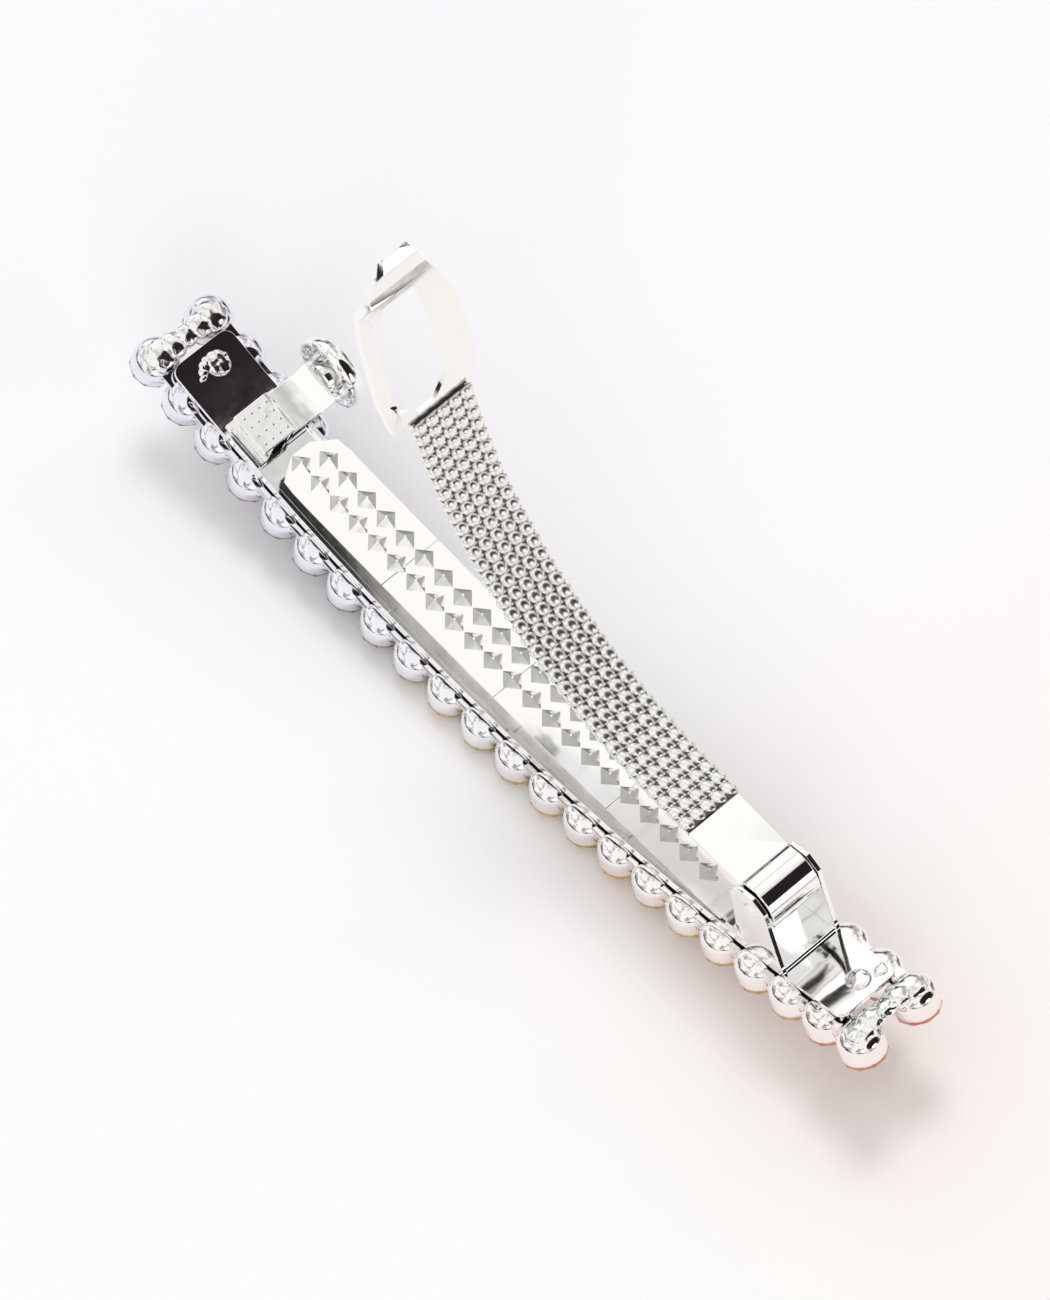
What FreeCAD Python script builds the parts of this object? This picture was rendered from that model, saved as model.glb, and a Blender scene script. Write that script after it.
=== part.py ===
"""Automatic hair barrette with two rows of set stones, open, lying on its stones.

Frame: +X runs along the clip to the hinge end, +Y across it to the side of the release button,
+Z up. The stones face down. The origin is on the table of the lowest stones, midway along.
Sizes are millimetres and degrees. An angle named *_lean is measured at the centre of an arc, from
straight down towards -X.
"""
import FreeCAD, Part
import math
import os

import Sketcher

V = FreeCAD.Vector

doc = FreeCAD.newDocument("barrette")
sheet = doc.addObject("Spreadsheet::Sheet", "Sizes")

SIZES = {
    # the arc that the stones, the base and the settings follow; its centre is above the origin
    "arc_radius": 124.8,
    "row_offset": 3.08,
    "stone_count": 22,
    "stone_step": 2.013,
    # stones and their settings, as heights above the table of the stone
    "stone_table_radius": 1.15,
    "stone_radius": 2.0,
    "stone_seat_radius": 1.8,
    "stone_girdle_low": 0.55,
    "stone_girdle_high": 0.95,
    "stone_top": 1.5,
    "cup_radius": 2.1,
    "cup_bore_radius": 1.82,
    "cup_shoulder": 2.55,
    "cup_crown": 3.6,
    "web_low": 2.6,
    "web_high": 3.3,
    "web_width": 1.8,
    # base strip: floor, rims, end tabs and hinge ears
    "floor_low": 3.6,
    "floor_high": 4.0,
    "rim_high": 4.6,
    "strip_width": 6.6,
    "channel_width": 5.7,
    "strip_lean": 20.4,
    "rim_lean": 16.9,
    "tab_hole_radius": 1.1,
    "tab_hole_x": 40.2,
    "tab_hole_y": 0.45,
    "tab_corner": 1.0,
    "rivet_head_radius": 1.45,
    # hinge
    "pin_x": 30.7,
    "pin_z": 14.8,
    "pin_radius": 0.75,
    "pin_length": 6.9,
    "bore_radius": 0.8,
    "ear_radius": 2.15,
    "ear_foot": 5.6,
    "ear_lean": -14.9,
    "curl_outer": 2.5,
    "sheet_thick": 0.5,
    "curl_width": 5.3,
    "cheek_thick": 0.5,
    "curl_end": -55.0,
    # arm: one arc, its links and its woven cover
    "arm_centre_x": 22.1,
    "arm_centre_z": 51.03,
    "arm_radius": 34.0,
    "arm_thick": 0.45,
    "cover_thick": 0.5,
    "arm_start_lean": -1.2,
    "link_lean": 15.34,
    "link_count": 5,
    "link_gap": 0.05,
    "arm_width": 5.7,
    "cover_width": 6.1,
    "cover_growth": 0.12,
    # ring at the free end of the arm
    "ring_thick": 0.5,
    "ring_length": 16.4,
    "tongue_length": 20.0,
    "window_near": 3.3,
    "window_far": 1.1,
    "near_rail_middle": 4.3,
    "near_rail_width": 1.4,
    # bow spring
    "bow_centre_x": 19.0,
    "bow_centre_z": 446.42,
    "bow_radius": 438.0,
    "bow_thick": 0.3,
    "bow_width": 6.5,
    "bow_start_lean": -1.1,
    "bow_link_lean": 1.85,
    "bow_link_count": 4,
    "bow_link_gap": 0.006,
    # catch: the leaf, its neck and the release button
    "catch_lean": 16.1,
    "leaf_thick": 0.4,
    "leaf_length": 4.2,
    "plate_low": 2.6,
    "neck_low": 0.8,
    "neck_rise": 0.9,
    "button_height": 2.3,
    "hub_radius": 2.6,
    "flange_radius": 3.6,
    "hub_start": 5.6,
    "flange_start": 7.2,
    "button_end": 8.2,
}
for line, (alias, size) in enumerate(SIZES.items(), start=1):
    sheet.set("A%d" % line, alias)
    sheet.set("B%d" % line, str(size))
    sheet.setAlias("B%d" % line, alias)
doc.recompute()


def size(alias):
    """The number in the sheet's cell of that name."""
    return float(sheet.get(alias))


def number(expression):
    """The value of an expression of the sheet's names, as a plain number."""
    result = sheet.evalExpression(expression)
    return float(getattr(result, "Value", result))


def bind(thing, prop, expression):
    """Set a property to an expression in which each name of the sheet stands alone."""
    for alias in sorted(SIZES, key=len, reverse=True):
        expression = replace_word(expression, alias)
    thing.setExpression(prop, expression)


def replace_word(expression, alias):
    """Put Sizes. before each whole word alias."""
    words = []
    word = ""
    for letter in expression + " ":
        if letter.isalnum() or letter in "_.":
            word += letter
            continue
        words.append("Sizes." + word if word == alias else word)
        words.append(letter)
        word = ""
    return "".join(words).strip()


def evaluate(expression):
    """The number that bind would give a property."""
    for alias in sorted(SIZES, key=len, reverse=True):
        expression = replace_word(expression, alias)
    return number(expression)


# ---------------------------------------------------------------- sketches and features

def new_body(label):
    body = doc.addObject("PartDesign::Body", label)
    body.Label = label
    return body


def new_sketch(body, name, role, centre=None, height=None):
    """A sketch on an origin plane; centre moves its origin in the plane, height along its normal."""
    sketch = body.newObject("Sketcher::SketchObject", name)
    plane = next(item for item in body.Origin.OriginFeatures if item.Role == role)
    sketch.AttachmentSupport = [(plane, "")]
    sketch.MapMode = "FlatFace"
    if centre:
        bind(sketch, "AttachmentOffset.Base.x", centre[0])
        bind(sketch, "AttachmentOffset.Base.y", centre[1])
    if height:
        bind(sketch, "AttachmentOffset.Base.z", height)
    doc.recompute()
    return sketch


def set_datum(sketch, kind, where, expression, scale=1.0):
    """Add a dimension whose value is an expression of the sheet."""
    index = sketch.addConstraint(Sketcher.Constraint(kind, *where, evaluate(expression) * scale))
    bind(sketch, "Constraints[%d]" % index, expression)


def draw_outline(sketch, points):
    """A closed outline of straight lines; each point is a pair of expressions."""
    places = [V(evaluate(x), evaluate(y), 0) for x, y in points]
    first = sketch.GeometryCount
    count = len(places)
    for step in range(count):
        sketch.addGeometry(Part.LineSegment(places[step], places[(step + 1) % count]), False)
    for step in range(count):
        after = first + (step + 1) % count
        sketch.addConstraint(Sketcher.Constraint("Coincident", first + step, 2, after, 1))
    for step, (x, y) in enumerate(points):
        set_datum(sketch, "DistanceX", (-1, 1, first + step, 1), x)
        set_datum(sketch, "DistanceY", (-1, 1, first + step, 1), y)


def draw_circle(sketch, x, y, radius):
    circle = Part.Circle(V(evaluate(x), evaluate(y), 0), V(0, 0, 1), evaluate(radius))
    index = sketch.addGeometry(circle, False)
    set_datum(sketch, "DistanceX", (-1, 1, index, 3), x)
    set_datum(sketch, "DistanceY", (-1, 1, index, 3), y)
    set_datum(sketch, "Radius", (index,), radius)


def draw_arc_band(sketch, inner, outer, lean_a, lean_b):
    """A band between two arcs about the sketch's origin, from one lean to a larger one."""
    start = math.radians(-90 - evaluate(lean_b))
    stop = math.radians(-90 - evaluate(lean_a))
    radii = (inner, outer)
    arcs = []
    for radius in radii:
        circle = Part.Circle(V(0, 0, 0), V(0, 0, 1), evaluate(radius))
        arcs.append(sketch.addGeometry(Part.ArcOfCircle(circle, start, stop), False))
    for arc, radius in zip(arcs, radii):
        sketch.addConstraint(Sketcher.Constraint("Coincident", arc, 3, -1, 1))
        set_datum(sketch, "Radius", (arc,), radius)
    for end, angle, lean in ((1, start, lean_b), (2, stop, lean_a)):
        near = V(math.cos(angle), math.sin(angle), 0) * evaluate(inner)
        far = V(math.cos(angle), math.sin(angle), 0) * evaluate(outer)
        spoke = sketch.addGeometry(Part.LineSegment(near, far), False)
        sketch.addConstraint(Sketcher.Constraint("Coincident", spoke, 1, arcs[0], end))
        sketch.addConstraint(Sketcher.Constraint("Coincident", spoke, 2, arcs[1], end))
        sketch.addConstraint(Sketcher.Constraint("PointOnObject", -1, 1, spoke))
        set_datum(sketch, "Angle", (spoke,), "(-90 - (%s)) * 1 deg" % lean, math.pi / 180)


def pad(body, sketch, length, both_sides=True, name="pad"):
    feature = body.newObject("PartDesign::Pad", name)
    feature.Profile = sketch
    feature.SideType = "Symmetric" if both_sides else "One side"
    bind(feature, "Length", length)
    doc.recompute()
    return feature


def pocket(body, sketch, length, name="pocket"):
    """Cut on both sides of the sketch's plane, and make sure that something was cut."""
    before = body.Tip.Shape.Volume
    feature = body.newObject("PartDesign::Pocket", name)
    feature.Profile = sketch
    feature.SideType = "Symmetric"
    bind(feature, "Length", length)
    doc.recompute()
    if feature.Shape.Volume >= before - 1e-6:
        raise RuntimeError("%s of %s cuts nothing" % (name, body.Label))
    return feature


def revolve(body, sketch, axis="V_Axis"):
    feature = body.newObject("PartDesign::Revolution", "turned")
    feature.Profile = sketch
    feature.ReferenceAxis = (sketch, [axis])
    feature.Angle = 360
    doc.recompute()
    return feature


def round_edges(body, radius, chosen):
    """Fillet the edges of the tip for which chosen(edge) holds."""
    tip = body.Tip
    names = []
    for number_, edge in enumerate(tip.Shape.Edges, start=1):
        if chosen(edge):
            names.append("Edge%d" % number_)
    feature = body.newObject("PartDesign::Fillet", "round")
    feature.Base = (tip, names)
    bind(feature, "Radius", radius)
    doc.recompute()
    return feature


def arc_band_body(label, centre, inner, outer, lean_a, lean_b, width):
    """A curved strip: a band between two arcs, as wide as width across the clip."""
    body = new_body(label)
    sketch = new_sketch(body, "side", "XZ_Plane", centre)
    draw_arc_band(sketch, inner, outer, lean_a, lean_b)
    pad(body, sketch, width)
    return body


def stand_on_arc(thing, lean, height):
    """Put a body's origin at a height over the stones' arc, its own Z towards the arc's centre."""
    thing.Placement = FreeCAD.Placement(V(0, 0, 0), FreeCAD.Rotation(V(0, 1, 0), evaluate(lean)))
    bind(thing, "Placement.Rotation.Angle", "(%s) * 1 deg" % lean)
    bind(thing, "Placement.Base.x", "-(arc_radius - (%s)) * sin((%s) * 1 deg)" % (height, lean))
    bind(thing, "Placement.Base.z",
         "arc_radius - (arc_radius - (%s)) * cos((%s) * 1 deg)" % (height, lean))


# ---------------------------------------------------------------- stones and settings

ARC_CENTRE = ("0", "arc_radius")
HALF_ROW_LEAN = "(stone_count - 1) * stone_step / 2"


def repeat_along_arc(body, arc_sketch, feature):
    """Repeat a feature about the arc's axis, then turn the row so that it is centred."""
    pattern = body.newObject("PartDesign::PolarPattern", "row")
    pattern.Originals = [feature]
    pattern.Axis = (arc_sketch, ["N_Axis"])
    bind(pattern, "Angle", "(stone_count - 1) * stone_step")
    bind(pattern, "Occurrences", "stone_count")
    body.Tip = pattern
    doc.recompute()
    box = pattern.Shape.BoundBox
    toward = -1 if box.XMax > -box.XMin else 1
    half = evaluate(HALF_ROW_LEAN)
    centre = V(0, 0, size("arc_radius"))
    turn = FreeCAD.Rotation(V(0, 1, 0), -toward * half)
    body.Placement = FreeCAD.Placement(centre - turn.multVec(centre), turn)
    return toward


def make_setting(label, side):
    """One row of cups with domed backs, joined by a web behind them."""
    body = new_body(label)
    offset = "(%d) * row_offset" % -side
    profile = new_sketch(body, "cup_side", "XZ_Plane", height=offset)
    draw_outline(profile, [
        ("0", "stone_top + 0.05"),
        ("cup_bore_radius", "stone_top + 0.05"),
        ("cup_bore_radius", "stone_girdle_high"),
        ("cup_radius", "stone_girdle_high"),
        ("cup_radius", "cup_shoulder"),
        ("cup_radius * 0.9", "cup_shoulder + (cup_crown - cup_shoulder) * 0.45"),
        ("cup_radius * 0.65", "cup_shoulder + (cup_crown - cup_shoulder) * 0.8"),
        ("cup_radius * 0.3", "cup_crown"),
        ("0", "cup_crown"),
    ])
    cup = revolve(body, profile)
    arc = new_sketch(body, "web_side", "XZ_Plane", ARC_CENTRE, offset)
    draw_arc_band(arc, "arc_radius - web_high", "arc_radius - web_low",
                  "-stone_step * 0.2", "stone_step * 0.2")
    arc.Visibility = False
    toward = repeat_along_arc(body, arc, cup)
    web = new_sketch(body, "web_band", "XZ_Plane", ARC_CENTRE, offset)
    ends = ("0", "(stone_count - 1) * stone_step")
    if toward < 0:
        ends = ("-(stone_count - 1) * stone_step", "0")
    draw_arc_band(web, "arc_radius - web_high", "arc_radius - web_low", *ends)
    pad(body, web, "web_width")
    return body


def make_stones(label, side):
    """One row of round stones, each with its table down and its girdle under the rim of a cup."""
    body = new_body(label)
    offset = "(%d) * row_offset" % -side
    profile = new_sketch(body, "stone_side", "XZ_Plane", height=offset)
    draw_outline(profile, [
        ("0", "0"),
        ("stone_table_radius", "0"),
        ("stone_radius", "stone_girdle_low"),
        ("stone_radius", "stone_girdle_high"),
        ("stone_seat_radius", "stone_girdle_high"),
        ("stone_seat_radius * 0.75", "stone_top"),
        ("0", "stone_top"),
    ])
    stone = revolve(body, profile)
    arc = new_sketch(body, "arc_side", "XZ_Plane", ARC_CENTRE, offset)
    draw_arc_band(arc, "arc_radius - stone_top", "arc_radius", "-0.1", "0.1")
    repeat_along_arc(body, arc, stone)
    return body


# ---------------------------------------------------------------- base

def make_base():
    """Channel strip with flat end tabs and two upright hinge ears, bent from one sheet."""
    body = new_body("base_strip")
    floor = new_sketch(body, "floor_side", "XZ_Plane", ARC_CENTRE)
    draw_arc_band(floor, "arc_radius - floor_high", "arc_radius - floor_low",
                  "-strip_lean", "strip_lean")
    pad(body, floor, "strip_width", name="floor")
    rims = new_sketch(body, "rim_side", "XZ_Plane", ARC_CENTRE)
    draw_arc_band(rims, "arc_radius - rim_high", "arc_radius - floor_high", "-rim_lean", "rim_lean")
    pad(body, rims, "strip_width", name="rims")
    ears = new_sketch(body, "ear_side", "XZ_Plane", ("pin_x", "pin_z"))
    draw_outline(ears, ear_outline())
    pad(body, ears, "strip_width", name="ears")
    channel = new_sketch(body, "channel_side", "XZ_Plane", ARC_CENTRE)
    draw_arc_band(channel, "arc_radius - rim_high - 20", "arc_radius - floor_high",
                  "-rim_lean - 3", "rim_lean + 3")
    pocket(body, channel, "channel_width", "channel")
    ridge = new_sketch(body, "ridge_side", "XZ_Plane", ARC_CENTRE)
    draw_arc_band(ridge, "arc_radius - floor_high - 0.4", "arc_radius - floor_high",
                  "-rim_lean + 0.05", "-rim_lean + 0.35")
    pad(body, ridge, "strip_width", name="ridge")
    bore = new_sketch(body, "pin_hole", "XZ_Plane", ("pin_x", "pin_z"))
    draw_circle(bore, "0", "0", "pin_radius")
    pocket(body, bore, "strip_width * 2", "pin_bore")
    holes = new_sketch(body, "tab_holes", "XY_Plane")
    draw_circle(holes, "tab_hole_x", "tab_hole_y", "tab_hole_radius")
    draw_circle(holes, "-tab_hole_x", "tab_hole_y", "tab_hole_radius")
    pocket(body, holes, "60", "tab_bores")
    end_x = size("arc_radius") * math.sin(math.radians(size("strip_lean"))) - 2.0
    round_edges(body, "tab_corner", lambda edge: is_tab_corner(edge, end_x))
    return body


def ear_outline():
    """The ear's outline about the pin: a foot on the rim and a half octagon over the pin."""
    lean = math.radians(size("ear_lean"))
    height = size("pin_z") - size("arc_radius") + size("arc_radius") * math.cos(lean)
    drop = (height - size("floor_high")) / math.cos(lean)
    up = V(math.sin(lean), math.cos(lean), 0)
    along = V(math.cos(lean), -math.sin(lean), 0)
    radius = size("ear_radius")
    half = size("ear_foot") / 2
    places = [
        -up * drop - along * half,
        -up * 1.0 - along * radius * 1.05,
        up * radius * 0.45 - along * radius,
        up * radius - along * radius * 0.45,
        up * radius + along * radius * 0.45,
        up * radius * 0.45 + along * radius,
        -up * 1.0 + along * radius * 1.05,
        -up * drop + along * half,
    ]
    return [("%.4f" % place.x, "%.4f" % place.y) for place in places]


def is_tab_corner(edge, end_x):
    """The four short edges through the sheet at the corners of the end tabs."""
    middle = edge.CenterOfMass
    return abs(middle.x) > end_x and edge.Length < 0.6 and abs(middle.y) > 3.0


def make_tab_rivet(label, side):
    """Rivet of solder that fills a tab's hole and spreads over it."""
    body = new_body(label)
    profile = new_sketch(body, "rivet_side", "XZ_Plane")
    draw_outline(profile, [
        ("0", "floor_low - floor_high"),
        ("tab_hole_radius", "floor_low - floor_high"),
        ("tab_hole_radius", "0"),
        ("rivet_head_radius", "0"),
        ("rivet_head_radius * 0.85", "0.18"),
        ("rivet_head_radius * 0.4", "0.3"),
        ("0", "0.32"),
    ])
    revolve(body, profile)
    body.Placement = FreeCAD.Placement(V(0, 0, 0), FreeCAD.Rotation(V(0, 1, 0), 0))
    bind(body, "Placement.Base.x", "(%d) * tab_hole_x" % side)
    bind(body, "Placement.Base.y", "tab_hole_y")
    bind(body, "Placement.Base.z", "arc_radius - sqrt((arc_radius - floor_high)^2 - tab_hole_x^2)")
    return body


def make_end_bridge(label, side):
    """Run of solder that joins the last two cups across the clip, behind them."""
    lean = "(%d) * (stone_count - 1) * stone_step / 2" % -side
    bar = doc.addObject("Part::Cylinder", label + "_bar")
    bar.Radius = 0.62
    bind(bar, "Height", "2 * row_offset")
    bar.Placement = FreeCAD.Placement(V(0, -size("row_offset"), 0),
                                      FreeCAD.Rotation(V(1, 0, 0), -90))
    lumps = [bar]
    for across, radius in ((-1, 0.95), (0.1, 0.9), (1, 0.95)):
        lump = doc.addObject("Part::Sphere", label + "_lump")
        lump.Radius = radius
        lump.Placement.Base = V(0, across * (size("row_offset") - 0.5), 0)
        lumps.append(lump)
    bridge = doc.addObject("Part::MultiFuse", label)
    bridge.Label = label
    bridge.Shapes = lumps
    stand_on_arc(bridge, lean, "cup_crown + 0.1")
    return bridge


# ---------------------------------------------------------------- hinge and arm

def make_pin():
    pin = doc.addObject("Part::Cylinder", "hinge_pin")
    pin.Label = "hinge_pin"
    bind(pin, "Radius", "pin_radius")
    bind(pin, "Height", "pin_length")
    pin.Placement = FreeCAD.Placement(V(0, 0, 0), FreeCAD.Rotation(V(1, 0, 0), -90))
    bind(pin, "Placement.Base.x", "pin_x")
    bind(pin, "Placement.Base.y", "-pin_length / 2")
    bind(pin, "Placement.Base.z", "pin_z")
    return pin


def make_arm_root():
    """Plate that leads from the arm to the hinge, with a curl over the pin and two cheeks."""
    body = new_body("arm_root")
    curl = new_sketch(body, "curl_side", "XZ_Plane", ("pin_x", "pin_z"))
    # leans beyond 90 degrees are above the pin: 140 is up and towards the arm
    draw_arc_band(curl, "curl_outer - sheet_thick", "curl_outer", "140", "270 - curl_end")
    pad(body, curl, "curl_width", name="curl")
    plate = new_sketch(body, "plate_side", "XZ_Plane", ("pin_x", "pin_z"))
    draw_outline(plate, [
        ("-curl_outer * sin(40 * 1 deg)", "curl_outer * cos(40 * 1 deg)"),
        ("arm_centre_x - pin_x - arm_radius * sin(arm_start_lean * 1 deg)",
         "arm_centre_z - pin_z - arm_radius * cos(arm_start_lean * 1 deg)"),
        ("arm_centre_x - pin_x - (arm_radius + arm_thick) * sin(arm_start_lean * 1 deg)",
         "arm_centre_z - pin_z - (arm_radius + arm_thick) * cos(arm_start_lean * 1 deg)"),
        ("-(curl_outer - sheet_thick) * sin(40 * 1 deg)",
         "(curl_outer - sheet_thick) * cos(40 * 1 deg)"),
    ])
    pad(body, plate, "arm_width", name="plate")
    for side in (-1, 1):
        cheek = new_sketch(body, "cheek_side", "XZ_Plane", ("pin_x", "pin_z"),
                           "(%d) * (curl_width - cheek_thick) / 2" % side)
        draw_circle(cheek, "0", "0", "curl_outer - sheet_thick / 2")
        pad(body, cheek, "cheek_thick", name="cheek")
    bore = new_sketch(body, "bore_side", "XZ_Plane", ("pin_x", "pin_z"))
    draw_circle(bore, "0", "0", "bore_radius")
    pocket(body, bore, "strip_width * 2", "bore")
    return body


ARM_CENTRE = ("arm_centre_x", "arm_centre_z")


def link_leans(link):
    """Where a link of the arm starts and stops, clear of its neighbours."""
    start = "arm_start_lean + %d * link_lean + link_gap" % link
    stop = "arm_start_lean + %d * link_lean - link_gap" % (link + 1)
    return start, stop


def make_link(link):
    """One stretch of the spring strip of the arm."""
    return arc_band_body("arm_strip_%d" % (link + 1), ARM_CENTRE, "arm_radius",
                         "arm_radius + arm_thick", *link_leans(link), "arm_width")


def make_cover(link):
    """The same stretch of the woven cover, on the outside of the strip."""
    return arc_band_body("arm_cover_%d" % (link + 1), ARM_CENTRE, "arm_radius - cover_thick",
                         "arm_radius", *link_leans(link),
                         "cover_width + %d * cover_growth" % link)


def make_ring():
    """Loop at the arm's free end, with a thumb tongue; built flat, then stood on the arm's end."""
    body = new_body("arm_ring")
    side = new_sketch(body, "ring_side", "XZ_Plane")
    draw_outline(side, [
        ("0.02", "0"),
        ("4.5", "0.3"),
        ("9.5", "0.3"),
        ("ring_length - 2.2", "-0.2"),
        ("ring_length - 0.9", "-0.6"),
        ("ring_length + 0.8", "-0.3"),
        ("tongue_length - 0.9", "0.9"),
        ("tongue_length", "0.35"),
        ("tongue_length - 0.35", "-0.15"),
        ("tongue_length - 1.3", "0.25"),
        ("ring_length + 1.1", "-0.3 - ring_thick"),
        ("ring_length - 0.9", "-0.6 - ring_thick"),
        ("ring_length - 2.4", "-0.2 - ring_thick"),
        ("9.5", "0.3 - ring_thick"),
        ("4.5", "0.3 - ring_thick"),
        ("0.02", "-ring_thick + 0.05"),
    ])
    pad(body, side, "12", name="sheet")
    outside = new_sketch(body, "outside", "XY_Plane")
    draw_outline(outside, [("-5", "-7"), ("30", "-7"), ("30", "7"), ("-5", "7")])
    draw_outline(outside, [
        ("-0.1", "3.3"),
        ("1.0", "3.9"),
        ("ring_length - 2.2", "3.9"),
        ("ring_length - 0.6", "3.3"),
        ("tongue_length - 1.6", "2.9"),
        ("tongue_length - 0.4", "2.0"),
        ("tongue_length + 0.2", "0.5"),
        ("tongue_length - 0.4", "-1.0"),
        ("tongue_length - 1.6", "-1.9"),
        ("ring_length", "-2.2"),
        ("ring_length - 1.8", "-3.0"),
        ("11.0", "-4.2"),
        ("4.5", "-4.5"),
        ("1.0", "-4.2"),
        ("-0.1", "-3.3"),
    ])
    pocket(body, outside, "12", "outline")
    window = new_sketch(body, "window", "XY_Plane")
    draw_outline(window, [
        ("0.9", "2.2"),
        ("2.2", "window_near"),
        ("ring_length - 3.2", "window_near"),
        ("ring_length - 2.1", "window_near - 0.8"),
        ("ring_length - 2.1", "-0.6"),
        ("ring_length - 2.7", "-window_far"),
        ("2.6", "-window_far"),
        ("0.9", "0.3"),
    ])
    pocket(body, window, "12", "window")
    gap = new_sketch(body, "rail_gap", "XY_Plane")
    draw_outline(gap, [
        ("2.2", "window_near - 0.3"),
        ("2.2", "6"),
        ("ring_length - 3.2", "6"),
        ("ring_length - 3.2", "window_near - 0.3"),
    ])
    pocket(body, gap, "12", "rail_gap")
    rail = new_sketch(body, "rail_side", "XZ_Plane", height="-near_rail_middle")
    draw_outline(rail, [
        ("0.3", "-0.05"),
        ("3.6", "-0.95"),
        ("11.5", "-0.95"),
        ("ring_length - 1.6", "-0.35"),
        ("ring_length - 1.3", "-1.05"),
        ("11.7", "-1.75"),
        ("3.2", "-1.75"),
        ("0.3", "-0.6"),
    ])
    pad(body, rail, "near_rail_width", name="near_rail")
    lean = "(arm_start_lean + link_count * link_lean)"
    turn = FreeCAD.Rotation(V(0, 1, 0), 180 + evaluate(lean))
    flip = FreeCAD.Rotation(V(1, 0, 0), 180)
    body.Placement = FreeCAD.Placement(V(0, 0, 0), turn.multiply(flip))
    bind(body, "Placement.Base.x", "arm_centre_x - arm_radius * sin(%s * 1 deg)" % lean)
    bind(body, "Placement.Base.z", "arm_centre_z - arm_radius * cos(%s * 1 deg)" % lean)
    return body


# ---------------------------------------------------------------- bow spring and catch

def make_bow(link):
    """One stretch of the bow spring; the corners of its free end are rounded."""
    start = "bow_start_lean + %d * bow_link_lean + bow_link_gap" % link
    stop = "bow_start_lean + %d * bow_link_lean - bow_link_gap" % (link + 1)
    body = arc_band_body("bow_spring_%d" % (link + 1), ("bow_centre_x", "bow_centre_z"),
                         "bow_radius", "bow_radius + bow_thick", start, stop, "bow_width")
    if link == int(size("bow_link_count")) - 1:
        end_x = body.Shape.BoundBox.XMin + 1.0
        round_edges(body, "2.2", lambda edge: edge.CenterOfMass.x < end_x and edge.Length < 0.6
                    and abs(edge.CenterOfMass.y) > 2.0)
    return body


def make_bow_anchor():
    """Post that carries the fixed end of the bow spring on the floor."""
    body = new_body("bow_anchor")
    post = new_sketch(body, "post", "XY_Plane")
    draw_outline(post, [("-1.0", "-2.4"), ("1.0", "-2.4"), ("1.0", "2.4"), ("-1.0", "2.4")])
    pad(body, post, "0.66", False)
    stand_on_arc(body, "-12.6", "floor_high")
    return body


def make_catch_leaf():
    """Leaf spring of the catch: leg, dimpled plate, shoulder and the neck out to the button."""
    body = new_body("catch_leaf")
    across = new_sketch(body, "across", "YZ_Plane")
    draw_outline(across, [
        ("-1.5", "0.42"),
        ("-1.1", "0.42"),
        ("-1.1", "plate_low"),
        ("0.45", "plate_low"),
        ("0.45", "neck_low"),
        ("4.4", "neck_low"),
        ("hub_start + 0.2", "neck_low + neck_rise"),
        ("hub_start + 0.2", "neck_low + neck_rise + leaf_thick"),
        ("4.3", "neck_low + leaf_thick"),
        ("0.9", "neck_low + leaf_thick"),
        ("0.9", "plate_low - 0.05"),
        ("1.35", "plate_low"),
        ("1.15", "plate_low + leaf_thick * 0.6"),
        ("0.8", "plate_low + leaf_thick"),
        ("-2.6", "plate_low + leaf_thick"),
        ("-2.6", "plate_low"),
        ("-1.5", "plate_low"),
    ])
    pad(body, across, "leaf_length", name="leaf")
    stand_on_arc(body, "catch_lean", "floor_high")
    return body


def make_catch_foot():
    """Plate on the channel's floor that the catch's leg stands on."""
    body = new_body("catch_foot")
    plate = new_sketch(body, "plate", "XY_Plane")
    draw_outline(plate, [("-2.3", "-2.7"), ("2.3", "-2.7"), ("2.3", "2.7"), ("-2.3", "2.7")])
    pad(body, plate, "0.33", False)
    stand_on_arc(body, "catch_lean", "floor_high + 0.05")
    return body


def make_button():
    """Round release button: a hub on the neck and a wider stepped flange outside it."""
    body = new_body("catch_button")
    profile = new_sketch(body, "button_side", "YZ_Plane", ("0", "button_height"))
    draw_outline(profile, [
        ("hub_start", "0"),
        ("hub_start", "hub_radius - 0.3"),
        ("hub_start + 0.3", "hub_radius"),
        ("flange_start - 0.35", "hub_radius"),
        ("flange_start - 0.35", "hub_radius + 0.3"),
        ("flange_start", "hub_radius + 0.45"),
        ("flange_start", "flange_radius - 0.15"),
        ("flange_start + 0.2", "flange_radius"),
        ("button_end - 0.4", "flange_radius"),
        ("button_end", "flange_radius - 0.6"),
        ("button_end", "flange_radius - 1.1"),
        ("button_end - 0.35", "flange_radius - 1.5"),
        ("button_end - 0.35", "0"),
    ])
    revolve(body, profile, "H_Axis")
    stand_on_arc(body, "catch_lean", "floor_high")
    return body


# ---------------------------------------------------------------- build, check, write

def build():
    parts = [make_setting("stone_setting_near", -1), make_setting("stone_setting_far", 1)]
    parts += [make_stones("stones_near", -1), make_stones("stones_far", 1)]
    parts += [make_base()]
    parts += [make_tab_rivet("tab_rivet_latch", -1), make_tab_rivet("tab_rivet_hinge", 1)]
    parts += [make_end_bridge("end_bridge_latch", -1), make_end_bridge("end_bridge_hinge", 1)]
    parts += [make_pin(), make_arm_root()]
    for link in range(int(size("link_count"))):
        parts += [make_link(link), make_cover(link)]
    parts += [make_ring(), make_bow_anchor()]
    for link in range(int(size("bow_link_count"))):
        parts += [make_bow(link)]
    parts += [make_catch_foot(), make_catch_leaf(), make_button()]
    return parts


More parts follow.
